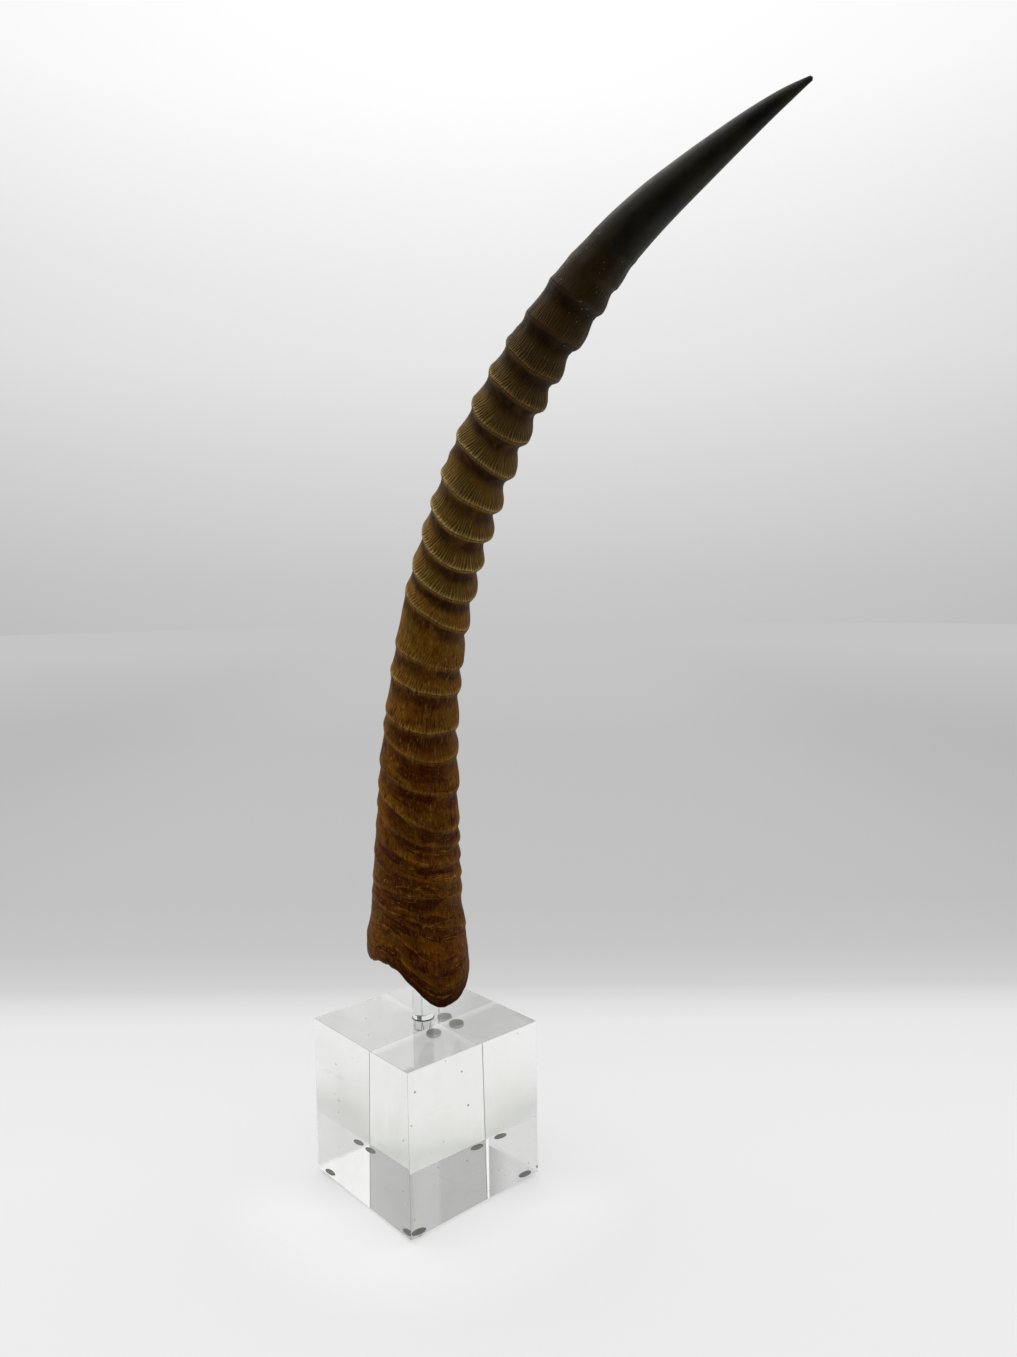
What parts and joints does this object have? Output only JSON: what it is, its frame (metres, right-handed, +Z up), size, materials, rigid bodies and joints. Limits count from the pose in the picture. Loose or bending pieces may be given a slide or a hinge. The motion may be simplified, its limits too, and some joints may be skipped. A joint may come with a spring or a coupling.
{
  "type": "impala horn on an acrylic cube stand",
  "caption": "Curved, ringed antelope horn tapering to a smooth dark tip, standing on a short clear rod in a clear acrylic cube with rubber feet.",
  "frame": {"origin": "middle of the whole object's footprint box, at the level of the feet's undersides", "axes": "+Z up; +X along one side of the cube, close to the direction the horn bends towards; +Y along the cube's other side"},
  "size_m": [0.2146, 0.082, 0.4602],
  "materials": {
    "horn": "satin",
    "acrylic": "polished",
    "rubber": "matte"
  },
  "bodies": {
    "root": {"horn": "horn", "stand_cube": "acrylic", "stand_rod": "acrylic", "foot_1": "rubber", "foot_2": "rubber", "foot_3": "rubber", "foot_4": "rubber"}
  },
  "joints": []
}
